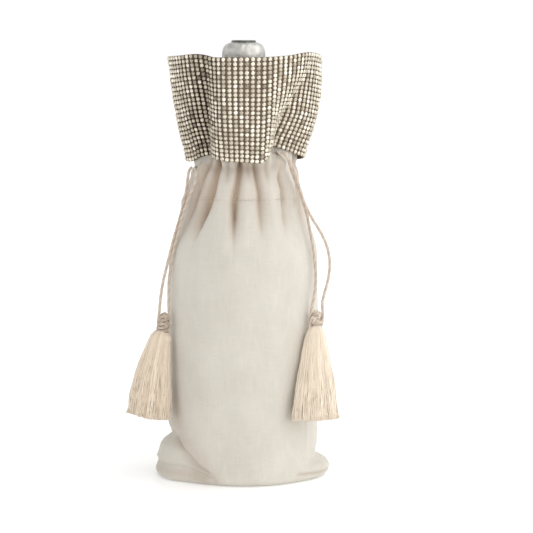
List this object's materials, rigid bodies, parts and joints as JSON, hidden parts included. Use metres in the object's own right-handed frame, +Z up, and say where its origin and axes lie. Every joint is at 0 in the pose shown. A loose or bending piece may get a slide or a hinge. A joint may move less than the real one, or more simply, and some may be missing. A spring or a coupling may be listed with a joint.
{
  "type": "wine gift bag",
  "caption": "Linen drawstring gift bag for a wine bottle, with a flared collar of stones round its mouth, tasselled cords at both sides and a foil-topped bottle inside.",
  "frame": {"origin": "centre of the base on the surface that the bag stands on, under the bottle's axis", "axes": "+Z up along the bottle, -Y towards the front of the bag, +X to the right as seen from the front"},
  "size_m": [0.1464, 0.1097, 0.3106],
  "materials": {
    "linen": "matte",
    "linen_thread": "matte",
    "cotton_tape": "matte",
    "stone_net": "satin",
    "stones": "polished",
    "twisted_cord": "satin",
    "wrap_thread": "satin",
    "tassel_yarn": "satin",
    "bottle_glass": "gloss",
    "wine": "gloss",
    "cork": "matte",
    "foil": "satin",
    "foil_disc": "satin"
  },
  "bodies": {
    "bag": {"front_panel": "linen", "back_panel": "linen", "side_seam_stitching": "linen_thread", "bottom_seam_stitching": "linen_thread", "casing_stitching": "linen_thread", "drawcord_casing": "linen", "left_buttonhole": "linen_thread", "right_buttonhole": "linen_thread", "collar_tape": "cotton_tape", "collar_mesh": "stone_net", "collar_stones": "stones", "left_channel_cord": "twisted_cord", "right_channel_cord": "twisted_cord"},
    "bottle": {"bottle_glass": "bottle_glass", "wine_fill": "wine", "cork": "cork", "foil_capsule": "foil", "capsule_disc": "foil_disc"},
    "left_cord": {"left_drawcord": "twisted_cord", "left_cord_knot": "twisted_cord"},
    "left_tassel": {"left_tassel_head": "tassel_yarn", "left_tassel_wrap": "wrap_thread", "left_tassel_skirt": "tassel_yarn"},
    "right_cord": {"right_drawcord": "twisted_cord", "right_cord_knot": "twisted_cord"},
    "right_tassel": {"right_tassel_head": "tassel_yarn", "right_tassel_wrap": "wrap_thread", "right_tassel_skirt": "tassel_yarn"}
  },
  "joints": [
    {"name": "bottle_lift", "type": "slide", "parent": "bag", "child": "bottle", "axis": [0, 0, 1], "range_m": [0, 0.32]},
    {"name": "left_cord_swing", "type": "hinge", "parent": "bag", "child": "left_cord", "pos_m": [-0.0353, -0.022, 0.223], "axis": [-0.375, 0.927, 0], "range_deg": [0, 40]},
    {"name": "left_tassel_swing", "type": "hinge", "parent": "left_cord", "child": "left_tassel", "pos_m": [-0.0565, -0.02, 0.1043], "axis": [-0.375, 0.927, 0], "range_deg": [0, 35]},
    {"name": "right_cord_swing", "type": "hinge", "parent": "bag", "child": "right_cord", "pos_m": [0.0267, -0.0319, 0.234], "axis": [-0.5239, -0.8518, 0], "range_deg": [0, 40]},
    {"name": "right_tassel_swing", "type": "hinge", "parent": "right_cord", "child": "right_tassel", "pos_m": [0.0505, -0.033, 0.1083], "axis": [-0.9878, -0.156, 0], "range_deg": [0, 35]}
  ]
}
